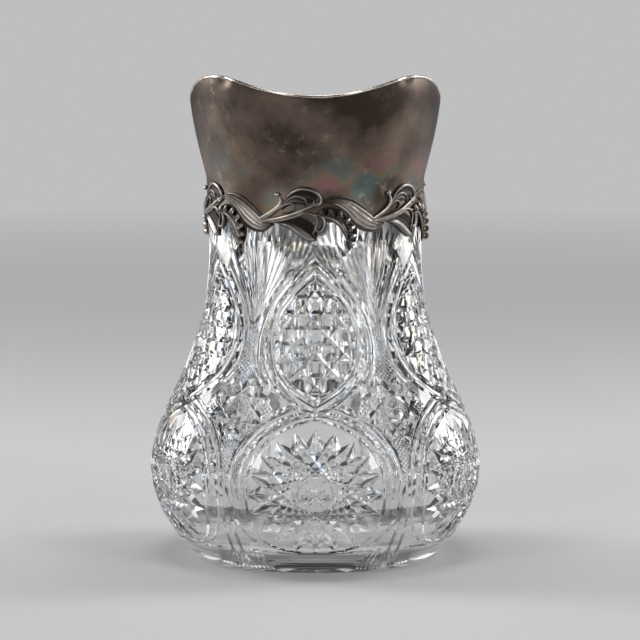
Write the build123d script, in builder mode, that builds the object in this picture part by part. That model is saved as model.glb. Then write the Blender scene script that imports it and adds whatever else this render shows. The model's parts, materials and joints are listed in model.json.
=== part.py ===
# Cut glass water pitcher with a silver collar.
#
# A thick blown glass body stands on its flat ground base. A glass strap handle is applied behind it.
# The top of the neck is stepped in, and a collar of sheet silver is bedded on that step in plaster.
# The collar flares to a drawn spout, its rim is bound with a silver wire, and a cast border of leaves,
# scrolls and lily sprigs is soldered round its foot.
# Millimetres. +Z is up, the spout points to -Y, the handle to +Y, and the origin is under the axis.

from math import cos, radians, sin, sqrt
import os

from build123d import *

# Glass body, outside: radius and height of each place that shapes the outline
base_radius = 62.0
heel_radius = 74.6
heel_height = 14.0
belly_radius = 85.9
belly_height = 45.5
shoulder_radius = 69.9
shoulder_height = 93.3
throat_radius = 59.4
throat_height = 122.7
neck_radius = 55.1
neck_height = 152.0

# Glass body, inside
belly_wall = 7.5
neck_wall = 5.6
floor_thickness = 13.0
floor_corner = 14.0

# Collar seat at the top of the glass
collar_foot = 178.0
seat_length = 20.0
collar_radius = 56.2
sheet = 1.2
plaster_thickness = 1.6

# Collar: a straight band that carries the border, then the flare
band_height = 18.5
waist_height = 211.0
waist_radius = 59.9
flare_height = 228.0
flare_radius = 63.4
blank_radius = 64.6
blank_trim = 6.0
spout_reach = 13.0
back_draw = 4.0
section_points = 24

# Rim: its height over the spout, the two ears, the sides and the back
spout_height = 241.0
ear_height = 250.0
ear_forward = 47.0
side_height = 232.5
back_height = 231.0
wire_width = 2.2
wire_height = 1.6

# Strap handle
handle_width = 25.0
handle_thickness = 13.0
handle_reach = 114.0
handle_top = 149.0
handle_waist = 123.0
handle_foot = 68.0
handle_crown = 8.0
root_flare = 1.25
root_depth = 6.0

# Cast border
border_units = 6
border_relief = 2.2
border_step = 1.0
vein_width = 0.9
vein_floor = 1.0
bell_radius = 1.6

# Cut pattern: five panels side by side, from the front round to the plain strip that carries the handle
panel_count = 5
panel_angle = 65.0
wheel_overhang = 1.0
wheel_lift = 0.2

# Fan between two panels: leaves that spread upward from one point
fan_point_height = 128.5
fan_leaves = 11
fan_spread = 57.0
fan_inner = 1.0
fan_reach = 43.0
fan_leaf_width = 3.4
fan_leaf_depth = 1.3

# Eight-point star under each fan
star_height = 84.5
star_rays = 8
star_inner = 3.0
star_outer = 18.3
star_ray_width = 4.6
star_ray_depth = 1.2

# Twenty-point hobstar at the foot of each panel, round a hob that is left standing
hobstar_height = 43.0
hobstar_rays = 20
hobstar_inner = 10.0
hobstar_outer = 31.0
hobstar_ray_width = 4.8
hobstar_ray_depth = 1.1

# Star under the foot
base_star_rays = 24
base_star_inner = 9.0
base_star_margin = 8.0
base_ray_width = 7.0
base_ray_depth = 1.8

os.makedirs("parts", exist_ok=True)

unit_angle = 360 / border_units
glass_top = collar_foot + seat_length
collar_bore = collar_radius - sheet
seat_radius = collar_bore - plaster_thickness
rim_forward = blank_radius + spout_reach
blank_height = max(spout_height, ear_height, side_height, back_height) + blank_trim


def save(piece, name):
    """Label a finished piece and write it as its own STEP file."""
    piece.part.label = name
    export_step(piece.part, f"parts/{name}.step")


# Glass body: one turned shape, hollow, with the seat for the collar stepped into its top
outline_places = [
    (base_radius, 0),
    (heel_radius, heel_height),
    (belly_radius, belly_height),
    (shoulder_radius, shoulder_height),
    (throat_radius, throat_height),
    (neck_radius, neck_height),
    (collar_radius, collar_foot),
]

with BuildPart() as glass_outside:
    with BuildSketch(Plane.XZ):
        with BuildLine():
            outline = Spline(*outline_places)
            Polyline(
                outline @ 1,
                (seat_radius, collar_foot),
                (seat_radius, glass_top),
                (0, glass_top),
                (0, 0),
                outline @ 0,
            )
        make_face()
    revolve(axis=Axis.Z)

with BuildPart() as cavity:
    with BuildSketch(Plane.XZ):
        with BuildLine():
            inside = Spline(
                (heel_radius - belly_wall, floor_thickness + floor_corner),
                (belly_radius - belly_wall, belly_height + floor_corner / 3),
                (shoulder_radius - belly_wall, shoulder_height),
                (throat_radius - neck_wall, throat_height),
                (neck_radius - neck_wall, neck_height),
                (seat_radius - neck_wall, glass_top),
            )
            Line(inside @ 1, (0, glass_top))
            Line((0, glass_top), (0, floor_thickness))
            flat = Line((0, floor_thickness), (heel_radius - belly_wall - floor_corner, floor_thickness))
            TangentArc(flat @ 1, inside @ 0, tangent=flat % 1)
        make_face()
    revolve(axis=Axis.Z)


def glass_radius(height):
    """Outside radius of the glass at a height below the collar, by halving along its outline."""
    low = 0
    high = 1
    for _ in range(30):
        middle = (low + high) / 2
        if (outline @ middle).Y < height:
            low = middle
        else:
            high = middle
    return (outline @ low).X


def on_glass(centre, across, up, lift=0):
    """A point lift outside the glass, in millimetres across and up from a centre given as (angle, height)."""
    angle, height = centre
    radius = glass_radius(height + up)
    turn = radians(angle) + across / radius
    return Vector((radius + lift) * sin(turn), -(radius + lift) * cos(turn), height + up)


def outward(centre, across, up):
    """The direction straight out of the glass at such a point."""
    small = 0.5
    place = on_glass(centre, across, up)
    along = on_glass(centre, across, up + small) - place
    sideways = Vector(-place.Y, place.X, 0)
    return sideways.cross(along).normalized()


def leaf_cut(start, widest, end, face, width, depth):
    """A wheel stroke between two points just off the glass, widest and deepest in between."""
    along = (end - start).normalized()
    opening = width / 2 * (depth + wheel_overhang) / depth
    with BuildPart() as cut:
        with BuildSketch(Plane(origin=widest, x_dir=face.cross(along), z_dir=along)) as wheel:
            with BuildLine():
                Polyline((0, -depth), (opening, wheel_overhang), (-opening, wheel_overhang), close=True)
            make_face()
        loft(sections=[Vertex(*start), wheel.sketch, Vertex(*end)], ruled=True)
    return cut.part


def ray(centre, lean, inner, outer, widest, width, depth):
    """A leaf cut that runs from inner to outer at an angle lean from upright about a centre."""
    across = sin(radians(lean))
    up = cos(radians(lean))
    middle = inner + (outer - inner) * widest
    return leaf_cut(
        on_glass(centre, inner * across, inner * up, wheel_lift),
        on_glass(centre, middle * across, middle * up),
        on_glass(centre, outer * across, outer * up, wheel_lift),
        outward(centre, middle * across, middle * up),
        width,
        depth,
    )


def star(centre, rays, inner, outer, width, depth):
    return [ray(centre, number * 360 / rays, inner, outer, 0.5, width, depth) for number in range(rays)]


def fan():
    """The leaves of a fan, counted from its left."""
    point = (0, fan_point_height)
    step = fan_spread / (fan_leaves - 1)
    leans = [step * leaf - fan_spread / 2 for leaf in range(fan_leaves)]
    return [ray(point, lean, fan_inner, fan_reach, 0.78, fan_leaf_width, fan_leaf_depth) for lean in leans]


# Each motif is cut once at the front and then turned to its places
half_panel = panel_angle / 2
panels = [panel_angle * (number - (panel_count - 1) / 2) for number in range(panel_count)]
border_lines = [panel + half_panel for panel in panels[:-1]]
strip_side = panels[-1] + half_panel

whole_fan = fan()
small_star = star((0, star_height), star_rays, star_inner, star_outer, star_ray_width, star_ray_depth)
hobstar = star(
    (0, hobstar_height), hobstar_rays, hobstar_inner, hobstar_outer, hobstar_ray_width, hobstar_ray_depth
)

base_star_outer = base_radius - base_star_margin
base_rays = [
    leaf_cut(
        Vector(0, -base_star_outer, -wheel_lift),
        Vector(0, -(base_star_inner + base_star_outer) / 2, 0),
        Vector(0, -base_star_inner, -wheel_lift),
        Vector(0, 0, -1),
        base_ray_width,
        base_ray_depth,
    ).rotate(Axis.Z, number * 360 / base_star_rays)
    for number in range(base_star_rays)
]

left_leaves = whole_fan[: fan_leaves // 2 + 1]
right_leaves = whole_fan[fan_leaves // 2 :]
motifs = [(base_rays, 0)]
motifs += [(hobstar, panel) for panel in panels]
motifs += [(motif, line) for line in border_lines for motif in (small_star, whole_fan)]
motifs += [(motif, strip_side) for motif in (small_star, left_leaves)]
motifs += [(motif, -strip_side) for motif in (small_star, right_leaves)]

# Every second stroke of a motif is cut first, and those between them after, so that no two meet in the air
with BuildPart() as glass_body:
    add(glass_outside)
    add(cavity, mode=Mode.SUBTRACT)
    for first in (0, 1):
        strokes = [stroke.rotate(Axis.Z, turn) for motif, turn in motifs for stroke in motif[first::2]]
        add(strokes, mode=Mode.SUBTRACT)
save(glass_body, "glass_body")


# Collar: sections that start round and grow the spout as they rise
def lip(angle):
    """How far the spout pulls a section out of round: 1 in front, 0 at the sides and behind."""
    forward = cos(radians(angle))
    if forward > 0:
        return 0.25 * forward + 0.75 * forward**6
    return 0


def back(angle):
    """1 at the very back of the rim, 0 at the sides and in front."""
    return min(cos(radians(angle)), 0) ** 2


def collar_section(radius, drawn, grow):
    """One section of the collar, as points round the axis from the spout."""
    points = []
    for step in range(section_points):
        angle = step * 360 / section_points
        reach = radius + grow + drawn * (spout_reach * lip(angle) - back_draw * back(angle))
        points.append((reach * sin(radians(angle)), -reach * cos(radians(angle))))
    return points


def collar_blank(grow):
    """The collar's outside, or its inside when grow is negative, before the rim is cut."""
    with BuildPart() as blank:
        stations = [
            (collar_foot + band_height, collar_radius, 0),
            (waist_height, waist_radius, 0.25),
            (flare_height, flare_radius, 0.65),
            (blank_height, blank_radius, 1),
        ]
        for height, radius, drawn in stations:
            with BuildSketch(Plane.XY.offset(height)):
                with BuildLine():
                    Spline(*collar_section(radius, drawn, grow), periodic=True)
                make_face()
        loft()
        with BuildSketch(Plane.XY.offset(collar_foot)):
            with BuildLine():
                Spline(*collar_section(collar_radius, 0, grow), periodic=True)
            make_face()
        extrude(amount=band_height)
    return blank.part


def above_rim(lift):
    """Everything above the rim line, seen from the side, raised by lift."""
    with BuildPart() as cutter:
        with BuildSketch(Plane.YZ):
            with BuildLine():
                edge = Spline(
                    (-rim_forward - blank_trim, spout_height + lift - wire_width),
                    (-rim_forward, spout_height + lift),
                    (-ear_forward, ear_height + lift),
                    (0, side_height + lift),
                    (blank_radius + blank_trim, back_height + lift),
                )
                top = blank_height + lift + blank_trim
                Polyline(
                    edge @ 1,
                    (blank_radius + blank_trim, top),
                    (-rim_forward - blank_trim, top),
                    edge @ 0,
                )
            make_face()
        extrude(amount=rim_forward, both=True)
    return cutter.part


with BuildPart() as silver_collar:
    add(collar_blank(0))
    add(collar_blank(-sheet), mode=Mode.SUBTRACT)
    add(above_rim(0), mode=Mode.SUBTRACT)
save(silver_collar, "silver_collar")

# Plaster that beds the collar on the glass seat
with BuildPart() as plaster_bed:
    with BuildSketch(Plane.XY.offset(collar_foot)):
        with BuildLine():
            Spline(*collar_section(collar_radius, 0, -sheet), periodic=True)
        make_face()
        Circle(seat_radius, mode=Mode.SUBTRACT)
    extrude(amount=seat_length)
    add(silver_collar, mode=Mode.SUBTRACT)
save(plaster_bed, "plaster_bed")

# Silver wire that binds the rim
wire_overhang = (wire_width - sheet) / 2
with BuildPart() as rim_wire:
    add(collar_blank(wire_overhang))
    add(collar_blank(-sheet - wire_overhang), mode=Mode.SUBTRACT)
    add(above_rim(0), mode=Mode.INTERSECT)
    add(above_rim(wire_height), mode=Mode.SUBTRACT)
save(rim_wire, "rim_wire")

# Strap handle: an applied loop of glass, wider where its two ends were pressed on
with BuildPart() as glass_handle:
    loop_depth = handle_reach - handle_thickness / 2
    with BuildLine(Plane.YZ) as handle_line:
        Spline(
            (glass_radius(handle_top) - root_depth, handle_top),
            (loop_depth - 1.7 * handle_thickness, handle_top + handle_crown),
            (loop_depth - 0.4 * handle_thickness, handle_top - 0.3 * handle_thickness),
            (loop_depth, handle_waist),
            (loop_depth - 0.8 * handle_thickness, handle_foot + 2.2 * handle_thickness),
            (glass_radius(handle_foot) - root_depth, handle_foot),
        )
    path = handle_line.line
    for place, flare in ((0, root_flare), (0.2, 1), (0.4, 0.94), (0.6, 0.94), (0.8, 1), (1, root_flare)):
        with BuildSketch(Plane(origin=path @ place, x_dir=(1, 0, 0), z_dir=path % place)):
            RectangleRounded(handle_width * flare, handle_thickness * flare, handle_thickness * 0.42)
    sweep(path=path, multisection=True)
    add(glass_outside, mode=Mode.SUBTRACT)
save(glass_handle, "glass_handle")

# Cast border, drawn flat: degrees round the collar from the front of the unit, and steps above its foot
leaf_outline = [
    (4, 11),
    (10, 13),
    (17.5, 12.1),
    (24, 8),
    (31.4, 2),
    (37.4, -1.2),
    (33.6, -3.7),
    (28.8, -4.4),
    (21.8, -4),
    (20.9, -0.4),
    (17.2, 4.5),
    (13, 7.7),
    (8.9, 9.1),
]
leaf_veins = [
    [(6.5, 10.8), (13, 10.4), (20.5, 6.8), (27, 1.4), (34.5, -1.6)],
    [(13.5, 12), (20, 9.3), (26.5, 4.4), (31, 0.8)],
    [(21.5, 2.4), (25, -1), (30, -3)],
]
scroll_outline = [
    (-28, 2),
    (-20.5, 6),
    (-19.6, 12.4),
    (-18.2, 13.4),
    (-16, 11),
    (-12.5, 15.6),
    (-7, 17.6),
    (-1.6, 16.6),
    (3.2, 13.8),
    (3, 10.2),
    (-3.4, 7.2),
    (-12.4, 3.2),
    (-24, 0.2),
]
scroll_opening = [
    (-12, 9.4),
    (-9, 13),
    (-4.2, 13.7),
    (-0.4, 12),
    (-3.4, 9.7),
    (-8, 8),
]
scroll_veins = [
    [(-26.5, 1.5), (-19, 4.2), (-10, 5.8), (-1.5, 9.3)],
    [(-16.5, -0.6), (-9, 1.6), (-2.5, 1.2), (0.6, -3)],
]
turned_leaf_outline = [
    (-19, -0.2),
    (-11.5, 3.4),
    (-3.4, 5),
    (2.9, 2),
    (3.8, -1.2),
    (1.1, -4.2),
    (0.8, -8.8),
    (-4.3, -8.4),
    (-12.4, -1.4),
]
sprig_outline = [
    (1.1, 3),
    (2, 5.8),
    (9, 7.6),
    (13, 6.6),
    (17.2, 4),
    (20, -0.8),
    (20.5, -4.6),
    (19.1, -10.6),
    (17, -13.5),
    (16.3, -8.7),
    (16.6, -4.5),
    (12.8, -0.6),
    (6.5, 1.9),
]
sprig_bells = [
    (4.2, 4.4),
    (8.4, 5.0),
    (12.8, 4.0),
    (16.4, 1.2),
    (18.4, -2.8),
    (18.9, -7.2),
]
drawn_angle = 60
border_low = collar_foot + border_step * (min(rise for angle, rise in sprig_outline) - 1)
border_high = collar_foot + band_height


def bend(points, centre):
    """Places of a motif, moved from angles and steps to millimetres on its upright plane."""
    spread = unit_angle / drawn_angle
    return [
        (collar_radius * sin(radians((angle - centre) * spread)), rise * border_step)
        for angle, rise in points
    ]


with BuildPart() as border_ring:
    with BuildSketch(Plane.XZ):
        with BuildLine():
            Polyline(
                (collar_radius + border_relief / 3, border_high),
                (collar_radius, border_high),
                (collar_radius, border_low),
                (collar_radius + border_relief / 3, border_low),
            )
            ThreePointArc(
                (collar_radius + border_relief / 3, border_low),
                (collar_radius + border_relief, (border_low + border_high) / 2),
                (collar_radius + border_relief / 3, border_high),
            )
        make_face()
    revolve(axis=Axis.Z)

with BuildPart() as band_core:
    with BuildSketch(Plane.XY.offset(border_low - bell_radius)):
        Circle(collar_radius)
    extrude(amount=border_high - border_low + 2 * bell_radius)

with BuildPart() as vein_ring:
    with BuildSketch(Plane.XY.offset(border_low)):
        Circle(collar_radius + 2 * border_relief)
        Circle(collar_radius + vein_floor, mode=Mode.SUBTRACT)
    extrude(amount=border_high - border_low)


def border_face(centre):
    """The upright plane through the axis that faces a motif centred at such an angle."""
    turn = radians(centre * unit_angle / drawn_angle)
    return Plane(
        origin=(0, 0, collar_foot),
        x_dir=(cos(turn), sin(turn), 0),
        z_dir=(sin(turn), -cos(turn), 0),
    )


def chased_lines(veins, centre):
    """The cutter for the grooves of a motif, sunk to an even distance from the axis."""
    with BuildPart() as chased:
        with BuildSketch(border_face(centre)):
            for line in veins:
                with BuildLine():
                    Spline(*bend(line, centre))
                trace(line_width=vein_width)
        extrude(amount=collar_radius + 2 * border_relief)
        add(vein_ring, mode=Mode.INTERSECT)
    return chased.part


def casting(outlines, openings, veins, bells, centre, neighbours):
    """A cast motif of the border in its place in the front unit, cut clear of its neighbours."""
    face = border_face(centre)
    cutters = [chased_lines(veins, centre)] if veins else []
    with BuildPart() as motif:
        with BuildSketch(face):
            for points in outlines:
                with BuildLine():
                    Spline(*bend(points, centre), periodic=True)
                make_face()
            for points in openings:
                with BuildLine():
                    Spline(*bend(points, centre), periodic=True)
                make_face(mode=Mode.SUBTRACT)
        extrude(amount=collar_radius + 2 * border_relief)
        add(border_ring, mode=Mode.INTERSECT)
        for cutter in cutters:
            add(cutter, mode=Mode.SUBTRACT)
        for across, rise in bend(bells, centre):
            depth = sqrt((collar_radius + border_relief / 2) ** 2 - across**2)
            with Locations(face.from_local_coords((across, rise, depth))):
                Sphere(bell_radius)
        add(band_core, mode=Mode.SUBTRACT)
        for neighbour in neighbours:
            add(neighbour, mode=Mode.SUBTRACT)
    return motif.part


leaf_master = casting([leaf_outline], [], leaf_veins, [], 21, [])
last_leaf = leaf_master.rotate(Axis.Z, -unit_angle)
scroll_master = casting(
    [scroll_outline, turned_leaf_outline], [scroll_opening], scroll_veins, [], -12, [leaf_master, last_leaf]
)
sprig_master = casting([sprig_outline], [], [], sprig_bells, 12, [leaf_master, scroll_master])

for number in range(border_units):
    for master, motif_name in (
        (leaf_master, "border_leaf"),
        (scroll_master, "border_scroll"),
        (sprig_master, "lily_sprig"),
    ):
        with BuildPart() as motif:
            with Locations(Rotation(0, 0, number * unit_angle)):
                add(master)
        save(motif, f"{motif_name}_{number + 1}")
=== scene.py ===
# %% [markdown]
# A cut glass water pitcher with a silver collar
# The pitcher is a heavy blown blank that a cutter has worked over with stone wheels, a silver collar that a
# silversmith has raised and bedded on its neck, and a cast border soldered on. This lesson dresses the
# solids of the frame: the glass is cut here as a cutter would do it, in the flat, and then wrapped round
# the blank. All lengths in the pattern are millimetres and angles are degrees; the finished meshes are in
# metres.

# %% Load the frame
import json
from math import atan2, cos, degrees, hypot, pi, radians, sin, tau, tan

import bmesh
import bpy
import numpy as np
from mathutils import Matrix, Vector

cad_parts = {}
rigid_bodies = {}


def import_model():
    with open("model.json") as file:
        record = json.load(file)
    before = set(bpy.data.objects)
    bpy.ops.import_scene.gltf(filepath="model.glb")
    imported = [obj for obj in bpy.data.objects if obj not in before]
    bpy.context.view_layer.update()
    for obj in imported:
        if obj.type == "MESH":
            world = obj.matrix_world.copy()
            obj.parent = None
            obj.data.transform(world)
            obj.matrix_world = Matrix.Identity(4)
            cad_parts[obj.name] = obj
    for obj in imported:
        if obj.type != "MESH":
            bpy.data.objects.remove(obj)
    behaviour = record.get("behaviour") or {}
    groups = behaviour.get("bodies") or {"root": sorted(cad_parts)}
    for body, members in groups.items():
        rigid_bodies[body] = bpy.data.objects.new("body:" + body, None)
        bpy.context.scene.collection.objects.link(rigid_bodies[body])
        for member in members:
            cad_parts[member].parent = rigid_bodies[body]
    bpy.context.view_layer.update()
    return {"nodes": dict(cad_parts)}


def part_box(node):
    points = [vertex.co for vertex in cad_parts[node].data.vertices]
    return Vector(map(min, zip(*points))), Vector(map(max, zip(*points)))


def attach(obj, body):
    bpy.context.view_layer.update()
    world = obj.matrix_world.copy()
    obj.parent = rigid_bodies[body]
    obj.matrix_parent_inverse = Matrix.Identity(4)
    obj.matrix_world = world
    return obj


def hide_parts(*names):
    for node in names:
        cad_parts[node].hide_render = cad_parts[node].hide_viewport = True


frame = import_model()
nodes = frame["nodes"]
MM = 0.001
print("frame loaded with", len(nodes), "nodes")

# %% [markdown]
# The outline of the blank
# The frame's glass solid already has the true outline. A ray sent in from behind, where the glass stays
# uncut, finds the outside at any height, so the pattern lies exactly on the blank. The same ray carried on
# through the wall finds the inside.

# %% Read the outline from the frame
glass_node = nodes["glass_body"]
SEAT_HEIGHT = 178.0
GLASS_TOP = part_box("glass_body")[1].z / MM
PLAIN_SIDE = Vector((0, 1, 0))
RAY_START = 0.2
OUTLINE_STEP = 2.0
JUST_ABOVE_FOOT = 0.02


def wall_at(height):
    """Outside and inside radius of the blank at a height, both in millimetres."""
    start = PLAIN_SIDE * RAY_START + Vector((0, 0, height * MM))
    found, outer, normal, index = glass_node.ray_cast(start, -PLAIN_SIDE)
    found, inner, normal, index = glass_node.ray_cast(outer - PLAIN_SIDE * 0.001, -PLAIN_SIDE)
    return outer.y / MM, inner.y / MM


outline_heights = np.arange(JUST_ABOVE_FOOT, SEAT_HEIGHT, OUTLINE_STEP)
outline_radii = np.array([wall_at(height)[0] for height in outline_heights])
outline_heights[0] = 0


def blank_radius(height):
    return float(np.interp(height, outline_heights, outline_radii))


def blank_slope(height):
    """How fast the outline widens as it rises, in millimetres a millimetre."""
    return (blank_radius(height + 1) - blank_radius(height - 1)) / 2


print("widest", round(outline_radii.max(), 2), "mm, foot", round(outline_radii[0], 2), "mm")

# %% [markdown]
# How a cut is made
# A cutting wheel with a V edge leaves a groove with two flat sides, a mitre, and a wheel with a round edge
# leaves a hollow, a flute. Here each wheel stroke is a solid bar with that section, pushed along a line on
# the flat slab and lifted at its ends, as a wheel comes off the glass. Boolean cuts then take all the bars
# out of the slab at once, so strokes that cross make the same sharp points as on real cut glass.

# %% The slab's own measure
ACROSS = 1.2
PANEL = 65.0
HALF_PANEL = PANEL / 2
LAST_EDGE = 50.0
BOTH = (1, -1)


def flat(angle, height):
    """A place on the glass, by its angle from the panel's middle and its height, as a place on the slab."""
    return Vector((angle * ACROSS, height, 0))


def stretch(height):
    """Real millimetres on the glass for one unit across and one unit up the slab."""
    return blank_radius(height) * pi / 180 / ACROSS, hypot(1, blank_slope(height))


def smooth_line(points, steps):
    """A smooth curve through points, by the rule of Catmull and Rom."""
    points = [Vector((*point, 0)) for point in points]
    ends = [2 * points[0] - points[1]] + points + [2 * points[-1] - points[-2]]
    line = []
    for a, b, c, d in zip(ends, ends[1:], ends[2:], ends[3:]):
        for step in range(steps):
            t = step / steps
            line.append(0.5 * (2 * b + (c - a) * t + (2 * a - 5 * b + 4 * c - d) * t * t
                               + (3 * b - a - 3 * c + d) * t ** 3))
    return line + [points[-1]]


print("a degree at the seat is", round(stretch(SEAT_HEIGHT - 2)[0] * ACROSS, 2), "mm")

# %% Sections of the wheels
OVERHANG = 2.0
FLUTE_FACETS = 6


def mitre(half_width, depth):
    """Section of a V wheel: corners as (across, height) from the glass surface."""
    wide = half_width * (depth + OVERHANG) / depth
    return [(0, -depth), (wide, OVERHANG), (-wide, OVERHANG)]


def flute(half_width, depth):
    """Section of a round wheel, which leaves a hollow."""
    radius = (half_width ** 2 + depth ** 2) / (2 * depth)
    swing = atan2(half_width, radius - depth)
    corners = []
    for step in range(FLUTE_FACETS + 1):
        angle = -swing + 2 * swing * step / FLUTE_FACETS
        corners.append((radius * sin(angle), radius - depth - radius * cos(angle)))
    return corners + [(half_width, OVERHANG), (-half_width, OVERHANG)]


print("corners of a mitre", len(mitre(1, 1)), "and of a flute", len(flute(1, 0.5)))

# %% [markdown]
# A bar grows from one face. The first section is a face of loose corners; extruding it, moving the new
# corners into the next section and forgetting the face left behind makes a closed bar that can turn, widen
# and rise on the way. The corners are set square to the stroke as it runs on the real glass, where the slab
# is stretched.

# %% A bar of changing section
def bar(places, sections, measure):
    """A closed bar along places, with its own section of corners (across, rise) at each place."""
    bm = bmesh.new()
    face = bm.faces.new([bm.verts.new() for corner in sections[0]])
    for index, (place, section) in enumerate(zip(places, sections)):
        if index:
            grown = bmesh.ops.extrude_face_region(bm, geom=[face])["geom"]
            if index > 1:
                bmesh.ops.delete(bm, geom=[face], context="FACES_ONLY")
            face = next(part for part in grown if isinstance(part, bmesh.types.BMFace))
        along = places[min(index + 1, len(places) - 1)] - places[max(index - 1, 0)]
        wide, tall = measure(place.y)
        along = Vector((along.x * wide, along.y * tall)).normalized()
        side = Vector((-along.y / wide, along.x / tall, 0))
        for vert, (across, rise) in zip(face.verts, section):
            vert.co = Vector((place.x, place.y, rise)) + side * across
    bmesh.ops.recalc_face_normals(bm, faces=bm.faces)
    return bm


def mesh_of(bm, name):
    """Turns a finished bmesh into a mesh, and frees it."""
    mesh = bpy.data.meshes.new(name)
    bm.to_mesh(mesh)
    bm.free()
    return mesh


# %% Strokes of a wheel
cutters = bpy.data.collections.new("cutters")
bpy.context.scene.collection.children.link(cutters)


def stroke(places, section, lifts=None):
    """A cutting bar along places, lifted off the glass by lifts where they are given."""
    lifts = lifts or [0] * len(places)
    bm = bar(places, [[(across, rise + lift) for across, rise in section] for lift in lifts], stretch)
    cutters.objects.link(bpy.data.objects.new("stroke", mesh_of(bm, "stroke")))


def deepest(section):
    return -min(rise for across, rise in section)


def straight(a, b, section, ease=0):
    """A straight stroke between two places, coming off the glass over the share ease at both ends."""
    shares = [0, ease, 1 - ease, 1] if ease else [0, 1]
    depth = deepest(section)
    stroke([a.lerp(b, share) for share in shares], section, [depth, 0, 0, depth] if ease else None)


def chord(a, b, section, ease, held_up):
    """A stroke across a star, widest near its ends and held up by a share of its depth in the middle."""
    depth = deepest(section)
    shares = [0, ease, 0.3, 0.5, 0.7, 1 - ease, 1]
    lifts = [1, 0, 0.8 * held_up, held_up, 0.8 * held_up, 0, 1]
    stroke([a.lerp(b, share) for share in shares], section, [lift * depth for lift in lifts])


def around(centre, across, up):
    """A place by real millimetres across and up from a centre given as (angle, height)."""
    wide, tall = stretch(centre[1] + up * 0.5)
    return flat(*centre) + Vector((across / wide, up / tall, 0))


# %% [markdown]
# The pattern, panel by panel
# Five panels go round the blank and a plain strip is left under the handle. A panel is the same on its left
# and right, so only one half is cut, from its middle to the fan that it shares with the next panel. A
# little of what lies beyond that fan is cut too, for the two panels that end at the handle.

# %% [markdown]
# Fans. Where two panels meet, eleven long leaves spread from one point under the border. On the glass each
# is a flute that grows wider and deeper as it rises, and ends in a point. A V section lifted at its root
# and its tip gives that leaf in one stroke, and the lift follows the width, so that neighbouring leaves
# just touch.

# %% Eleven leaves from one point
FAN_POINT = 125.5
FAN_LEAVES = 11
FAN_SPREAD = 52.0
FAN_REACH = 50.5
FAN_DROOP = 3.5
SHOULDER = 0.84
LEAF_SLOPE = 0.8
LEAF_SHARES = (0.03, 0.3, 0.55, SHOULDER, 0.93, 1.0)


def fan(angle):
    half = (FAN_LEAVES - 1) / 2
    grow = tan(radians(FAN_SPREAD / (FAN_LEAVES - 1) / 2))
    for leaf in range(FAN_LEAVES):
        lean = radians(FAN_SPREAD * (leaf / (FAN_LEAVES - 1) - 0.5))
        reach = FAN_REACH - FAN_DROOP * abs(leaf - half) / half
        places, lifts = [], []
        widest = reach * SHOULDER
        depth = widest * grow * LEAF_SLOPE
        for share in LEAF_SHARES:
            run = reach * share
            places.append(around((angle, FAN_POINT), run * sin(lean), run * cos(lean)))
            to_tip = max(0.0, (1 - share) / (1 - SHOULDER))
            here = run * grow * LEAF_SLOPE if share <= SHOULDER else depth * to_tip ** 0.7
            lifts.append(depth - here + 0.02)
        stroke(places, mitre(widest * grow, depth), lifts)


fan(HALF_PANEL)

# %% [markdown]
# Fields of fine crossed lines. Small fields under the fan and beside the star are filled with two sets of
# thin mitres, which leave rows of little pyramids. Each line is clipped to the outline of its field before
# it becomes a stroke. The fields lie a hair off the panel's edge, because a crossing that falls exactly on
# a bending line of the slab would leave a hole in the mesh.

# %% Clip a line to a field
def inside_part(a, b, corners):
    """The part of the line a to b that lies inside a polygon of corners, or nothing."""
    cuts = [0.0, 1.0]
    run = b - a
    for first, second in zip(corners, corners[1:] + corners[:1]):
        side = second - first
        cross = run.x * side.y - run.y * side.x
        if abs(cross) > 1e-9:
            share = ((first.x - a.x) * side.y - (first.y - a.y) * side.x) / cross
            along = ((first.x - a.x) * run.y - (first.y - a.y) * run.x) / cross
            if 0 <= along < 1:
                cuts.append(share)
    inside = sorted(cuts)[1:-1]
    return (a + run * inside[0], a + run * inside[-1]) if len(inside) >= 2 else None


# %% Fill fields with crossed lines
NUDGE = 0.07
FINE = mitre(0.8, 0.75)
FINE_PITCH = 1.8
FINE_REACH = 60
FINE_LINES = 40
SHORTEST = 0.6


def crossed_lines(centre, corners):
    """Two sets of parallel strokes through a field given by corners as (angle, height)."""
    centre = (centre[0] + NUDGE, centre[1] + NUDGE)
    field = [flat(*corner) for corner in corners]
    for tilt in (45, 135):
        step_x, step_y = cos(radians(tilt)), sin(radians(tilt))
        for line in range(-FINE_LINES, FINE_LINES + 1):
            off = line * FINE_PITCH
            a = around(centre, off * step_x - FINE_REACH * step_y, off * step_y + FINE_REACH * step_x)
            b = around(centre, off * step_x + FINE_REACH * step_y, off * step_y - FINE_REACH * step_x)
            part = inside_part(a, b, field)
            if part and (part[1] - part[0]).length > FINE_PITCH * SHORTEST:
                straight(*part, FINE)


def mirrored(corners, middle):
    """Corners of one side of a field, and the same corners on the other side of its middle."""
    return corners + [(2 * middle - angle, height) for angle, height in reversed(corners)]


STRIP = [(1.6, 126), (1.9, 112), (4.6, 102.5), (0.1, 97.5)]
STRIP_MIDDLE = 112
KITE = [(0.1, 72), (3.3, 67.5), (1.6, 58), (0.1, 46)]
KITE_MIDDLE = 60


def fan_fields(angle):
    """The lined strip under a fan and the lined kite under the star, about the line between two panels."""
    for corners, middle in ((STRIP, STRIP_MIDDLE), (KITE, KITE_MIDDLE)):
        crossed_lines((angle, middle), mirrored([(angle + off, height) for off, height in corners], angle))


fan_fields(HALF_PANEL)

# %% [markdown]
# The star between two panels. Eight chords, each from a point to the third next one, cross to make a star
# with eight points, and short rays fill its middle. A chord of a real star is deepest near its points and
# rides up in the middle, where the others cross it, and so does this one. Two small lined fields flank the
# star.

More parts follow.
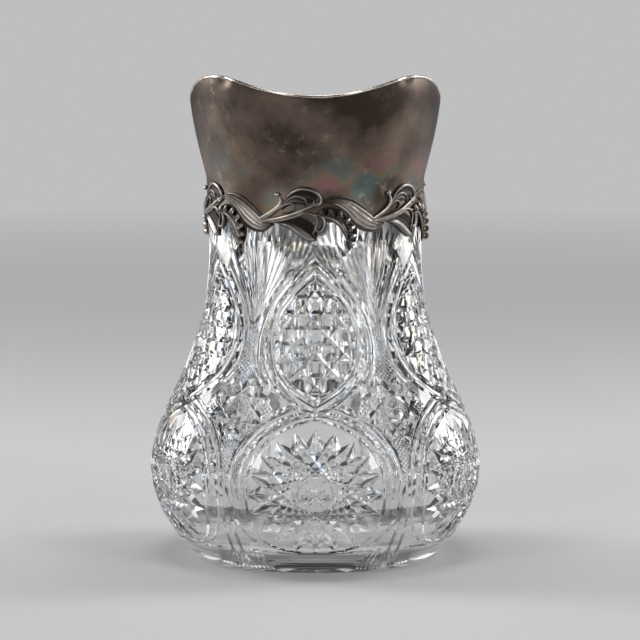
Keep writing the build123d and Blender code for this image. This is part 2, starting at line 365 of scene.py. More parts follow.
# %% Eight-point star
STAR_HEIGHT = 84.5
STAR_OFFSET = 7.0
STAR_RADIUS = 18.3
STAR_POINTS = 8
STAR_CUT = mitre(2.1, 2.0)
STAR_RAYS = 8
STAR_RAY = 5.2
STAR_RAY_CUT = mitre(0.5, 0.5)
SIDE_FIELD = [(15.4, 84.8), (13.4, 89.6), (11, 90), (10.2, 85), (12.4, 79.8), (15.2, 80.2)]
SIDE_MIDDLE = (13, 85)


def star(angle):
    centre = (angle + NUDGE, STAR_HEIGHT)
    half = (STAR_RADIUS ** 2 - STAR_OFFSET ** 2) ** 0.5
    for point in range(STAR_POINTS):
        turn = point * tau / STAR_POINTS
        c, s = cos(turn), sin(turn)
        a = around(centre, STAR_OFFSET * c - half * s, STAR_OFFSET * s + half * c)
        b = around(centre, STAR_OFFSET * c + half * s, STAR_OFFSET * s - half * c)
        chord(a, b, STAR_CUT, ease=0.13, held_up=0.42)
    for ray in range(STAR_RAYS):
        turn = (ray + 0.5) * pi / STAR_RAYS
        c, s = STAR_RAY * cos(turn), STAR_RAY * sin(turn)
        straight(around(centre, -c, -s), around(centre, c, s), STAR_RAY_CUT, ease=0.2)


def side_field(angle, way):
    """The lined field beside a star, on the way side of it."""
    across, height = SIDE_MIDDLE
    crossed_lines((angle + way * across, height), [(angle + way * off, rise) for off, rise in SIDE_FIELD])


star(HALF_PANEL)
for way in BOTH:
    side_field(HALF_PANEL, way)

# %% [markdown]
# The ribbons. A band of mitre lines loops round the oval, crosses under it and springs into the arch over
# the big star, with a polished flute along it. A line is given by a few places (angle, height) on half a
# panel, a smooth curve runs through them, and the same line mirrored makes the other half.

# %% Lines of the oval and the arch
OVAL_OUTER = [(0, 160.5), (5, 155.6), (12.6, 147), (21.3, 136), (25.6, 125), (26.5, 118), (24.7, 107),
              (18.7, 96.5), (11.4, 89.3), (6, 85.4), (0, 81.6), (-6, 78.4)]
OVAL_INNER = [(0, 149.4), (5, 145.6), (12.4, 138.6), (18.2, 129.8), (20.1, 119), (17.8, 106.8), (11.4, 97.6),
              (5.6, 93), (0, 89.9), (-5, 87)]
ARCH_OUTER = [(-2, 91), (4, 88.8), (11.4, 86), (19.8, 80.3), (26, 71.4), (30, 61), (31.4, 50), (31.2, 38),
              (30.8, 26), (30.4, 15), (30.2, 7)]
ARCH_MIDDLE = [(-4, 84.6), (0, 84), (6, 83), (11.4, 80.9), (18, 76), (24, 68.6), (27.6, 60), (29.2, 50),
               (29.7, 39), (29.2, 31), (27.4, 24.6), (24.4, 19.4), (20.6, 15.6)]
ARCH_INNER = [(-4, 79.8), (0, 80.4), (6, 78.6), (14.5, 72.8), (20.4, 64.2), (23.4, 53), (24, 41), (23.2, 28),
              (19.4, 18), (12, 13.6), (4, 12.2), (-4, 12.2)]
OVAL_FLUTE = [(10.8, 154), (16.6, 147.4), (24.0, 136.6), (28.0, 125), (28.9, 117.5), (27.9, 108), (24.6, 101),
              (20.4, 95.4)]
ARCH_FLUTE = [(4, 87.0), (11.4, 83.6), (18.8, 78.4), (24.8, 70.2), (28.6, 60.4), (30.3, 49.0)]
ARCH_BAND = [(0, 82.2), (6, 80.8), (12.8, 77.0), (19.0, 70.8), (23.6, 62.2), (26.1, 51.5), (26.7, 40)]

# %% Strokes along a line
RIBBON = mitre(0.9, 1.1)
LINE_STEPS = 4


def run_line(points, section=RIBBON, sides=BOTH):
    for way in sides:
        stroke([flat(way * place.x, place.y) for place in smooth_line(points, LINE_STEPS)], section)


def tapered(points, half_width, depth):
    """A round-wheel stroke along points, fading out at its two ends."""
    line = smooth_line(points, LINE_STEPS)
    fade = [0.92 * depth, 0.3 * depth]
    lifts = fade + [0] * (len(line) - 4) + fade[::-1]
    for way in BOTH:
        stroke([flat(way * place.x, place.y) for place in line], flute(half_width, depth), lifts)


def notches(outer, inner, pitch, section):
    """Short strokes across the band between two lines."""
    first, second = smooth_line(outer, 2 * LINE_STEPS), smooth_line(inner, 2 * LINE_STEPS)
    run = pitch
    for a, b in zip(first, first[1:]):
        run += (b - a).length
        if run < pitch:
            continue
        run = 0
        mate = min(second, key=lambda place: (place - a).length)
        for way in BOTH:
            ends = [flat(way * place.x, place.y) for place in (a.lerp(mate, 0.08), a.lerp(mate, 0.92))]
            straight(*ends, section, 0.15)


def between(first, second, share):
    """Places part of the way from one line of points to another with as many."""
    return [(a1 + (a2 - a1) * share, h1 + (h2 - h1) * share) for (a1, h1), (a2, h2) in zip(first, second)]


for line in (OVAL_INNER, ARCH_OUTER, ARCH_MIDDLE, ARCH_INNER):
    run_line(line)
run_line(OVAL_OUTER, mitre(1.1, 1.3))
run_line(between(OVAL_OUTER[:10], OVAL_INNER, 0.5), flute(2.5, 1.1))
tapered(OVAL_FLUTE, 2.3, 1.1)
tapered(ARCH_FLUTE, 1.7, 0.85)
tapered(ARCH_BAND, 1.9, 0.8)
notches(ARCH_MIDDLE[1:8], ARCH_INNER[1:7], 4.2, mitre(0.8, 0.5))

# %% [markdown]
# The oval field. Deep slanting mitres leave a net of diamonds, and thinner level and upright ones run
# through the crossings and cut the corners off, which leaves eight-sided hobs. All of them are clipped to
# the oval.

# %% Hobs in the oval
HOB_COLUMN = 7.05
HOB_RISE = 7.65
HOB_ROWS = (139.6, 132, 124.2, 116.4, 108.9, 101.3, 93.8)
HOB_MIDDLE = 120.3
HOB_REACH = 12
SLANT_SHORTEST = 5
OVAL_MIDDLE = 119
OVAL_MARGIN = (0.97, 0.965)
CROSS_CUT = mitre(1.6, 1.6)
SLANT_CUT = mitre(2.9, 2.4)


def clipped(a, b, field, section, ease, shortest=0):
    """A stroke along the part of the line a to b that lies inside a field, where it is long enough."""
    part = inside_part(a, b, field)
    if part and (part[1] - part[0]).length > shortest:
        straight(*part, section, ease)


def oval_field():
    narrow, low = OVAL_MARGIN
    side = [(place.x * narrow, OVAL_MIDDLE + (place.y - OVAL_MIDDLE) * low)
            for place in smooth_line(OVAL_INNER[:-1], LINE_STEPS)]
    field = [flat(*corner) for corner in mirrored(side, 0)]
    for row in HOB_ROWS:
        clipped(flat(-40, row), flat(40, row), field, CROSS_CUT, ease=0.04)
    for column in range(-3, 3):
        across = (column + 0.5) * HOB_COLUMN
        clipped(flat(across, 60), flat(across, 180), field, CROSS_CUT, ease=0.04)
    for step in range(-5, 6):
        for way in BOTH:
            middle = (2 * step + 1) * HOB_COLUMN
            across, up = HOB_REACH * HOB_COLUMN * way, HOB_REACH * HOB_RISE
            low_end = flat(middle - across, HOB_MIDDLE - up)
            high_end = flat(middle + across, HOB_MIDDLE + up)
            clipped(low_end, high_end, field, SLANT_CUT, ease=0.03, shortest=SLANT_SHORTEST)


oval_field()

# %% [markdown]
# The hobstar. The proudest figure of the pattern: twenty points stand round a rayed hob. Twenty chords,
# each from a point to the eighth next one, make all of it, and a round flute cuts a ring about the hob in
# the middle.

# %% Twenty-point hobstar in the arch
HOBSTAR = (0, 43.0)
HOBSTAR_RADIUS = 34.0
HOBSTAR_POINTS = 20
HOBSTAR_SKIP = 8
HOBSTAR_WIDE = 1.05
HOBSTAR_CUT = mitre(2.5, 2.3)
HOB_RING = 9.3
HOB_RING_CUT = flute(1.1, 0.6)
HOB_RAYS = 8
HOB_RAY = 7.4
HOB_RAY_CUT = mitre(0.62, 0.5)


def hobstar():
    wide = HOBSTAR_RADIUS * HOBSTAR_WIDE
    for point in range(HOBSTAR_POINTS):
        ends = []
        for corner in (point, point + HOBSTAR_SKIP):
            turn = corner * tau / HOBSTAR_POINTS
            ends.append(around(HOBSTAR, wide * sin(turn), HOBSTAR_RADIUS * cos(turn)))
        chord(*ends, HOBSTAR_CUT, ease=0.14, held_up=0.5)
    for way in BOTH:
        arc = [radians(way * turn) for turn in range(20, 161, 20)]
        places = [around(HOBSTAR, HOB_RING * sin(turn), HOB_RING * cos(turn)) for turn in arc]
        stroke(places, HOB_RING_CUT, [0.5] + [0] * (len(arc) - 2) + [0.5])
    for ray in range(HOB_RAYS):
        turn = (ray + 0.5) * pi / HOB_RAYS
        c, s = HOB_RAY * cos(turn), HOB_RAY * sin(turn)
        straight(around(HOBSTAR, -c, -s), around(HOBSTAR, c, s), HOB_RAY_CUT, ease=0.25)


hobstar()

# %% [markdown]
# The small cuts. A diamond with a pit fills the tip of the oval. Along the heel, slanting wedges stand
# between the arches, and a shallow lens of a flute closes each arch at its foot.

# %% Diamond, wedges and lens
DIAMOND = [(0, 160.2), (5, 153.8), (0, 149.6), (-5, 153.8)]
DIAMOND_CUT = mitre(0.7, 0.7)
PIT = [(0, 159.4), (0, 150.4)]
PIT_CUT = mitre(2.4, 1.5)
WEDGE_ANGLES = np.arange(20.5, 33, 2.1)
WEDGE_TOP = (2.6, 12.2)
WEDGE_FOOT = (-1.6, 0.8)
WEDGE_CUT = mitre(1.05, 0.9)
LENS_HALF_HEIGHT = 4.4
LENS_DEPTH = 1.2
LENS_REACH = 20.0
LENS_HEIGHT = 5.2
LENS_LINE = [(-27, 12.6), (-13, 12.0), (0, 11.8), (13, 12.0), (27, 12.6)]
LENS_LINE_CUT = mitre(0.8, 0.7)


def diamond():
    corners = [flat(*corner) for corner in DIAMOND]
    for a, b in zip(corners, corners[1:] + corners[:1]):
        straight(a, b, DIAMOND_CUT, ease=0.1)
    straight(*[flat(*end) for end in PIT], PIT_CUT, ease=0.48)


def heel():
    for angle in WEDGE_ANGLES:
        for way in BOTH:
            if angle < HALF_PANEL or way > 0:
                ends = [flat(way * (angle + off), height) for off, height in (WEDGE_TOP, WEDGE_FOOT)]
                straight(*ends, WEDGE_CUT, ease=0.2)
    shares = np.arange(-1, 1.01, 0.125)
    places = [flat(share * LENS_REACH, LENS_HEIGHT) for share in shares]
    lifts = [0.98 * LENS_DEPTH * share ** 2 for share in shares]
    stroke(places, flute(LENS_HALF_HEIGHT, LENS_DEPTH), lifts)
    run_line(LENS_LINE, LENS_LINE_CUT, sides=(1,))


diamond()
heel()

# %% [markdown]
# Cutting. All strokes now lie in the collection of cutters. One Boolean modifier takes the whole collection
# out of the slab at once, which is far quicker than one cut after another and leaves no seams between them.

# %% Cut every stroke into the slab
SLAB_THICKNESS = 4.0


def slab():
    bm = bmesh.new()
    bmesh.ops.create_cube(bm, size=1)
    for vert in bm.verts:
        vert.co = Vector(((vert.co.x + 0.5) * LAST_EDGE * ACROSS, (vert.co.y + 0.5) * SEAT_HEIGHT,
                          (vert.co.z - 0.5) * SLAB_THICKNESS))
    board = bpy.data.objects.new("slab", mesh_of(bm, "slab"))
    bpy.context.scene.collection.objects.link(board)
    return board


board = slab()
cut = board.modifiers.new("wheel", "BOOLEAN")
cut.operation = "DIFFERENCE"
cut.solver = "MANIFOLD"
cut.operand_type = "COLLECTION"
cut.collection = cutters
cut_mesh = bpy.data.meshes.new_from_object(board.evaluated_get(bpy.context.evaluated_depsgraph_get()))
print("cut slab", len(cut_mesh.polygons), "faces")

# %% [markdown]
# From the slab to the blank
# The cut slab is flat, so it is first given the bends that it needs: bisecting it by evenly spaced planes
# puts an edge wherever the wall will curve. Then each half panel is laid on the blank, the other halves are
# its mirror images, and the plain inside, the seat for the collar and the foot are turned on the axis.

# %% Give the slab its bending lines
RING_STEP = 2.5
ROW_STEP = 4.0
THIN = 0.001


def bending_lines(bm):
    planes = [(flat(angle, 0), Vector((1, 0, 0))) for angle in np.arange(RING_STEP, LAST_EDGE, RING_STEP)]
    planes += [(flat(0, height), Vector((0, 1, 0))) for height in np.arange(ROW_STEP, SEAT_HEIGHT, ROW_STEP)]
    for place, normal in planes:
        whole = bm.verts[:] + bm.edges[:] + bm.faces[:]
        bmesh.ops.bisect_plane(bm, geom=whole, dist=THIN, plane_co=place, plane_no=normal)


def cut_face(bm):
    """Leaves only the worked side of the slab."""
    edge = LAST_EDGE * ACROSS
    hidden = []
    for face in bm.faces:
        xs = [vert.co.x for vert in face.verts]
        ys = [vert.co.y for vert in face.verts]
        deep = max(vert.co.z for vert in face.verts) < 0.1 - SLAB_THICKNESS
        if deep or max(xs) < THIN or min(xs) > edge - THIN or max(ys) < THIN or min(ys) > SEAT_HEIGHT - THIN:
            hidden.append(face)
    bmesh.ops.delete(bm, geom=hidden, context="FACES")


end_part = bmesh.new()
end_part.from_mesh(cut_mesh)
cut_face(end_part)
bending_lines(end_part)
half_part = end_part.copy()
whole = half_part.verts[:] + half_part.edges[:] + half_part.faces[:]
bmesh.ops.bisect_plane(half_part, geom=whole, dist=THIN, plane_co=(HALF_PANEL * ACROSS, 0, 0),
                       plane_no=(1, 0, 0), clear_outer=True)
print("half panel", len(half_part.faces), "faces, end part", len(end_part.faces))


# %% Lay the halves round the blank
def on_blank(angle, height, depth):
    """A place on the slab, laid on the blank and sunk square to its wall."""
    slope = blank_slope(height) if 1 < height < SEAT_HEIGHT - 1 else 0
    lean = hypot(1, slope)
    radius = blank_radius(height) + depth / lean
    turn = radians(angle)
    return Vector((radius * sin(turn), -radius * cos(turn), height - depth * slope / lean)) * MM


def join(total, part):
    """Moves all of one bmesh into another."""
    mesh = mesh_of(part, "part")
    total.from_mesh(mesh)
    bpy.data.meshes.remove(mesh)


def lay(total, part, centre, way):
    """Lays a copy of a part to one side of a centre; a mirrored copy has its faces turned out again."""
    copy = part.copy()
    for vert in copy.verts:
        vert.co = on_blank(centre + way * vert.co.x / ACROSS, vert.co.y, vert.co.z)
    if way < 0:
        bmesh.ops.reverse_faces(copy, faces=copy.faces)
    join(total, copy)


glass = bmesh.new()
for centre in (-PANEL, 0, PANEL):
    for way in BOTH:
        lay(glass, half_part, centre, way)
for side in BOTH:
    lay(glass, half_part, side * 2 * PANEL, -side)
    lay(glass, end_part, side * 2 * PANEL, side)
print("wall", len(glass.faces), "faces")

# %% [markdown]
# The rest of the glass. The seat under the collar, the inside and the floor are smooth, so their outline is
# read from the frame and spun about the axis. The foot is spun as well, and a star of rays is then pressed
# up into it, each ray a groove that is deepest half way out, as a cutter grinds it so that the pitcher
# stands without a mark.

# %% Turn the seat and the inside
STEPS = round(360 / RING_STEP)
FLOOR_HEIGHT = 13.0
WALL_HEIGHTS = [GLASS_TOP - 0.01, *np.arange(190, 30, -5), 27, 24, 21, 18.5, 16.5, 15, 14, 13.3]
seat_radius = wall_at(SEAT_HEIGHT + 8)[0]
bore = [(wall_at(height)[1], height) for height in WALL_HEIGHTS]
bore += [(radius, FLOOR_HEIGHT) for radius in (40, 20, 0)]


def turned(bm, places):
    """Spins a line of (radius, height) places about the axis."""
    verts = [bm.verts.new(Vector((0, -radius, height)) * MM) for radius, height in places]
    edges = [bm.edges.new(pair) for pair in zip(verts, verts[1:])]
    bmesh.ops.spin(bm, geom=verts + edges, cent=(0, 0, 0), axis=(0, 0, 1), angle=tau, steps=STEPS,
                   use_merge=True)


seat = [(blank_radius(SEAT_HEIGHT), SEAT_HEIGHT), (seat_radius, SEAT_HEIGHT), (seat_radius, GLASS_TOP)]
turned(glass, seat + bore)
print("with the inside", len(glass.faces), "faces")

# %% Grind the foot and close the glass
STAR_IN, STAR_OUT = 9.0, 54.0
FOOT_RAYS = 24
RAY_HALF = 3.4
RAY_DEPTH = 1.8
FOOT_RINGS = (0, 5, 9, 13, 18, 24, 31.5, 39, 45, 50, 54, 58, outline_radii[0])
DOUBLES = 0.003
base = bmesh.new()
turned(base, [(radius, 0) for radius in FOOT_RINGS])
for vert in base.verts:
    radius, turn = hypot(vert.co.x, vert.co.y) / MM, atan2(vert.co.x, -vert.co.y)
    along = (radius - STAR_IN) / (STAR_OUT - STAR_IN)
    share = 1 - abs(2 * along - 1)
    if share > 0.01:
        off = abs((turn * FOOT_RAYS / tau + 0.5) % 1 - 0.5) * tau / FOOT_RAYS * radius
        vert.co.z = max(0, RAY_DEPTH * share * (1 - off / (RAY_HALF * share))) * MM
join(glass, base)
bmesh.ops.remove_doubles(glass, verts=glass.verts, dist=DOUBLES * MM)
bmesh.ops.recalc_face_normals(glass, faces=glass.faces)
print("glass", len(glass.verts), "vertices,", sum(len(face.verts) - 2 for face in glass.faces), "triangles,",
      sum(not edge.is_manifold for edge in glass.edges), "open edges")

# %% [markdown]
# Sharp edges. The blank is smooth and a cut is crisp. Both come from one rule: every face is shaded smooth,
# and an edge that turns by more than a few degrees is marked sharp, which splits the light along it.

# %% Keep the cuts crisp
SHARP_CUT = 9


def finish_mesh(bm, name, sharp):
    """Makes the object: faces smooth, edges sharper than sharp degrees kept crisp."""
    for face in bm.faces:
        face.smooth = True
    for edge in bm.edges:
        edge.smooth = edge.is_manifold and degrees(edge.calc_face_angle(0)) < sharp
    piece = bpy.data.objects.new(name, mesh_of(bm, name))
    bpy.context.scene.collection.objects.link(piece)
    return piece


cut_glass = finish_mesh(glass, "cut_glass", SHARP_CUT)
for stroke_bar in list(cutters.objects):
    bpy.data.objects.remove(stroke_bar)
bpy.data.collections.remove(cutters)
bpy.data.objects.remove(board)
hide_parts("glass_body")
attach(cut_glass, "root")
print("cut glass in place,", len(cut_glass.data.edges), "edges")

# %% [markdown]
# Materials are small networks of nodes. They all use the same few: noise, a range that maps one value to
# another, a mix of two colours and some arithmetic, so each of these gets a short helper. Patterns read
# Object coordinates, which are the pitcher's own metres, so that they stay where they are on every piece.

# %% Helpers for node work
def new_material(name):
    material = bpy.data.materials.new(name)
    material.use_nodes = True
    return material, material.node_tree.nodes, material.node_tree.links


def noise(n, l, vector, scale, detail=3.0, roughness=0.55):
    texture = n.new("ShaderNodeTexNoise")
    texture.inputs["Scale"].default_value = scale
    texture.inputs["Detail"].default_value = detail
    texture.inputs["Roughness"].default_value = roughness
    l.new(vector, texture.inputs["Vector"])
    return texture.outputs["Fac"]


def mapped(n, l, value, low, high, to_low=0.0, to_high=1.0):
    """A value stretched from one range to another, and kept inside it."""
    node = n.new("ShaderNodeMapRange")
    node.inputs["From Min"].default_value = low
    node.inputs["From Max"].default_value = high
    node.inputs["To Min"].default_value = to_low
    node.inputs["To Max"].default_value = to_high
    l.new(value, node.inputs["Value"])
    return node.outputs["Result"]


def blend(n, l, share, first, second):
    """Mixes two colours, each a fixed colour or a socket, by a share that comes from a socket."""
    node = n.new("ShaderNodeMix")
    node.data_type = "RGBA"
    l.new(share, node.inputs[0])
    for socket, colour in ((node.inputs[6], first), (node.inputs[7], second)):
        if isinstance(colour, tuple):
            socket.default_value = (*colour, 1)
        else:
            l.new(colour, socket)
    return node.outputs[2]


def combine(n, l, kind, *values):
    """A sum, product or other arithmetic of values."""
    node = n.new("ShaderNodeMath")
    node.operation = kind
    for socket, value in zip(node.inputs, values):
        if isinstance(value, float):
            socket.default_value = value
        else:
            l.new(value, socket)
    return node.outputs[0]


def place_parts(n, l):
    """Object coordinates, as a vector and as its three parts."""
    coordinates = n.new("ShaderNodeTexCoord").outputs["Object"]
    parts = n.new("ShaderNodeSeparateXYZ")
    l.new(coordinates, parts.inputs[0])
    return coordinates, parts.outputs


# %% [markdown]
# Lead glass. It bends light strongly, so every facet shows another piece of the room. An old pitcher that
# has held hard water for years has a faint haze inside, thickest at the floor. It is kept here, because it
# also softens the far wall's cuts, and the near ones stay crisp in front of it. A second material carries
# it, on the faces that lie inside the bore.

# %% Lead glass, clear outside and faintly hazed inside
LEAD_INDEX = 1.545
HAZE = 0.085
FLOOR_HAZE = 0.3
THICK_BELOW, THIN_ABOVE = 0.02, 0.042
CLEAR_GLASS = (0.985, 0.99, 0.99, 1)
BORE_MARGIN = 0.5


def glass_material(name, hazed=False):
    """Lead glass, clear, or hazed more at the floor than above it."""
    material, n, l = new_material(name)
    bsdf = n["Principled BSDF"]
    bsdf.inputs["Base Color"].default_value = CLEAR_GLASS
    bsdf.inputs["Roughness"].default_value = 0.0
    if hazed:
        place, parts = place_parts(n, l)
        haze = mapped(n, l, parts["Z"], THICK_BELOW, THIN_ABOVE, FLOOR_HAZE, HAZE)
        l.new(haze, bsdf.inputs["Roughness"])
    bsdf.inputs["IOR"].default_value = LEAD_INDEX
    bsdf.inputs["Transmission Weight"].default_value = 1.0
    return material


lead_glass = glass_material("lead_glass")
cut_glass.data.materials.append(lead_glass)
cut_glass.data.materials.append(glass_material("hazed_glass", hazed=True))
bore_heights, bore_radii = zip(*sorted((height, radius) for radius, height in bore))
for face in cut_glass.data.polygons:
    middle = face.center / MM
    inside_radius = np.interp(middle.z, bore_heights, bore_radii)
    if middle.z > FLOOR_HEIGHT - 0.1 and hypot(middle.x, middle.y) < inside_radius + BORE_MARGIN:
        face.material_index = 1
print("hazed faces", sum(face.material_index for face in cut_glass.data.polygons))
handle = nodes["glass_handle"]
handle.data.materials.clear()
handle.data.materials.append(lead_glass)

# %% [markdown]
# The cast border. A silversmith casts it as lilies of the valley that grow out from under a ribbed leaf,
# six times round, and solders it over the edge of the collar. It could be sculpted, but every part of it is
# long and changes its section as it goes, so each is a bar again, drawn along a smooth line with a section
# that grows and shrinks. It is drawn flat, in millimetres, and then laid round the collar.

# %% Sections of a casting
COLLAR_FOOT = SEAT_HEIGHT
BAND_HEIGHT = 187
band_start = Vector((0, RAY_START, BAND_HEIGHT * MM))
found, band_place, normal, index = nodes["silver_collar"].ray_cast(band_start, -PLAIN_SIDE)
BAND_RADIUS = band_place.y / MM
UNITS = 6
UNIT_ANGLE = 360 / UNITS
SUNK = -0.35
ROD_SIDES = 8
CAST_STEPS = 5
THINNEST = 0.08
print("band radius", round(BAND_RADIUS, 2), "mm")


def rod(width):
    """A round wire, partly sunk in what it lies on."""
    turns = [tau * side / ROD_SIDES for side in range(ROD_SIDES)]
    return [(width * cos(turn), width * 0.6 + width * sin(turn)) for turn in turns]


def blade(width, crown, ribs=0, rib=0.0, lip=0.0, points=17):
    """A leaf's section: crowned or hollow, with lengthwise ribs and turned-up lips."""
    top = []
    for point in range(points):
        u = 2 * point / (points - 1) - 1
        rise = 0.3 + crown * (1 - u * u) + lip * abs(u) ** 3 + rib * cos(ribs * pi * (u + 1))
        top.append((u * width, max(rise, 0) * min(1, 0.25 + width / 2)))
    return [(-width, SUNK)] + top + [(width, SUNK)]


def on_band(place):
    """A drawn place, in millimetres round the band, up from its foot and out from it, laid on the collar."""
    turn = place.x / BAND_RADIUS
    radius = BAND_RADIUS + place.z
    return Vector((radius * sin(turn), -radius * cos(turn), COLLAR_FOOT + place.y)) * MM


def solder(casting, part):
    """Lays a drawn part on the band and makes it one with the casting."""
    for vert in part.verts:
        vert.co = on_band(vert.co)
    join(casting, part)


def drawn(casting, points, section):
    """Adds a bar to the casting along points given as (round, up, width), with the section for each width."""
    line = smooth_line(points, CAST_STEPS)
    places = [Vector((place.x, place.y, 0)) for place in line]
    sections = [section(max(place.z, THINNEST)) for place in line]
    solder(casting, bar(places, sections, lambda height: (1, 1)))


# %% [markdown]
# The motifs. Each leaf, stem and scroll is one line of a few points, read off the border as it runs round
# the collar: millimetres round the band, millimetres above its foot, and half the width there. A rim or a
# stem takes the round section, and a leaf takes the crowned one, with ribs where the real leaf has veins.

# %% Lines of the leaf and the lily sprig
LEAF = [(2.0, 10.2, 0.5), (9, 11.0, 1.8), (16.5, 8.1, 4.0), (23.4, 2.4, 5.7), (30.4, -1.4, 4.3),
        (37.4, -1.3, 0.15)]
LEAF_RIM = [(-3, 7.8, 0.45), (4, 11.1, 0.5), (10, 13.0, 0.5), (17, 12.3, 0.55), (24, 8.4, 0.5),
            (31, 2.4, 0.4), (37.4, -1.2, 0.15)]
SICKLE = [(1.6, 4.9, 0.4), (6, 5.4, 1.7), (11.5, 4.6, 2.6), (16.2, 1.2, 2.9), (18.8, -4.4, 2.5),
          (18.6, -9.6, 1.7), (17.0, -13.6, 0.1)]
SICKLE_RIM = [(1.6, 5.8, 0.2), (7, 7.6, 0.38), (13, 6.9, 0.42), (18.4, 3.0, 0.42), (21.2, -3.6, 0.4),
              (20.6, -9.2, 0.35), (17.2, -14, 0.1)]
SICKLE_FOOT = [(0.6, 2.6, 0.5), (5, 2.9, 1.0), (10.0, 1.0, 1.2), (13.8, -2.8, 1.15), (16.0, -7.6, 0.8),
               (16.8, -13, 0.1)]
BELLS = [(3.2, 4.4, -8), (7.6, 5.0, -4), (12.3, 3.9, 12), (16.1, 1.2, 40), (18.2, -2.8, 62), (18.7, -7.0, 80),
         (17.9, -10.8, 92)]

# %% Lines of the scroll
BUD_STEM = [(-29, 1.2, 0.9), (-24.4, 3.7, 1.1), (-20.2, 6.4, 1.2), (-17.5, 9.8, 1.0), (-18.2, 13.0, 0.7)]
BUD = (-19.3, 13.9, 1.3)
SCROLL_PLATE = [(-16.4, 7.8, 0.6), (-13.2, 10.8, 2.4), (-8.2, 12.9, 3.6), (-3.0, 12.7, 3.2), (0.6, 11.6, 1.6)]
SCROLL = [(-16.6, 7.2, 0.4), (-15.2, 11.6, 0.8), (-11.4, 15.4, 1.05), (-6.4, 17.1, 1.15), (-1.0, 16.0, 1.15),
          (2.4, 13.2, 1.1), (2.7, 10.0, 1.0), (0.7, 8.6, 0.9), (-0.9, 9.9, 0.75), (-0.3, 11.7, 0.4)]
HOOD = [(-17, 6.4, 0.3), (-14.2, 9.5, 1.4), (-10.2, 11.0, 1.9), (-6.2, 10.2, 1.3), (-4.8, 8.4, 0.2)]
HOOD_RIM = [(-17, 7.4, 0.3), (-13.8, 11.4, 0.6), (-9.6, 13.3, 0.7), (-5.4, 12.0, 0.6), (-4.2, 8.6, 0.4)]
LOOP = [(-27.5, 0.6, 0.7), (-21.5, 4.6, 0.75), (-16.4, 8.4, 0.7), (-12.4, 9.6, 0.62), (-10.6, 7.6, 0.6),
        (-12.6, 5.4, 0.5), (-17, 4.6, 0.3)]
LONG_STEM = [(-28.5, 0.2, 1.0), (-20, 1.8, 1.1), (-12.4, 3.9, 1.05), (-5, 7.0, 0.95), (3.6, 10.9, 0.7)]
THIN_STEM = [(-28, -0.4, 0.6), (-19, 0.6, 0.7), (-9, 3.4, 0.7), (0.6, 7.8, 0.5)]
TURNED = [(-20, -0.3, 0.3), (-13.4, -1.4, 1.6), (-8.2, -4.6, 2.2), (-3.4, -7.7, 1.9), (0.9, -9.0, 0.15)]
TURNED_INSIDE = [(-18, 0.6, 0.3), (-12, 1.2, 2.0), (-6.4, -0.6, 3.4), (-1.8, -4.0, 3.0), (0.4, -8.2, 0.3)]
TURNED_RIM = [(-19.5, 0.4, 0.4), (-11.5, 3.7, 0.7), (-4.4, 5.0, 0.75), (0.6, 2.6, 0.7), (0.3, -2.4, 0.6),
              (-1.1, -5.6, 0.5), (0.9, -8.9, 0.12)]
CURL = [(-1.4, 4.2, 0.5), (2.4, 3.6, 0.95), (4.6, 0.4, 1.15), (3.8, -3.4, 1.05), (1.2, -4.4, 0.9),
        (-0.2, -2.2, 0.7), (1.4, -0.6, 0.4)]

# %% Lily bells and buds
BELL = [(0.1, 2.1), (1.05, 1.8), (1.35, 0.6), (1.4, -0.5), (2.05, -1.35), (1.6, -1.3), (1.0, -0.4),
        (0.1, 0.2)]
BELL_STEPS = 10
BELL_TILT = -25
BELL_LIFT = 1.25


def bell(casting, place):
    """A lily bell: a small cup spun from half its outline, hanging the way it leans."""
    across, up, lean = place
    cup = bmesh.new()
    verts = [cup.verts.new((radius, rise, 0)) for radius, rise in BELL]
    edges = [cup.edges.new(pair) for pair in zip(verts, verts[1:])]
    bmesh.ops.spin(cup, geom=verts + edges, cent=(0, 0, 0), axis=(0, 1, 0), angle=tau, steps=BELL_STEPS,
                   use_merge=True)
    for radius, rise in (BELL[0], BELL[-1]):
        ring = [vert for vert in cup.verts if abs(vert.co.y - rise) < 1e-4]
        bmesh.ops.pointmerge(cup, verts=ring, merge_co=(0, rise, 0))
    bmesh.ops.recalc_face_normals(cup, faces=cup.faces)
    bmesh.ops.rotate(cup, verts=cup.verts, matrix=Matrix.Rotation(radians(BELL_TILT), 3, "X"))
    bmesh.ops.rotate(cup, verts=cup.verts, matrix=Matrix.Rotation(radians(-lean), 3, "Z"))
    bmesh.ops.translate(cup, verts=cup.verts, vec=(across, up, BELL_LIFT))
    solder(casting, cup)


def bead(casting, place):
    across, up, radius = place
    ball = bmesh.new()
    bmesh.ops.create_icosphere(ball, subdivisions=2, radius=radius)
    bmesh.ops.translate(ball, verts=ball.verts, vec=(across, up, radius * 0.9))
    solder(casting, ball)


# %% [markdown]
# Casting. A silversmith carves one master of each motif and casts six from it. So does this cell: the three
# masters are built once, and copies of them are turned about the axis. Every copy is its own piece, because
# each casting of the real border can be unsoldered on its own.

# %% Cast the three motifs
SHARP_CAST = 50


def cast_leaf():
    casting = bmesh.new()
    drawn(casting, LEAF, lambda width: blade(width, 1.1, ribs=5, rib=0.26, points=31))
    drawn(casting, LEAF_RIM, rod)
    return casting


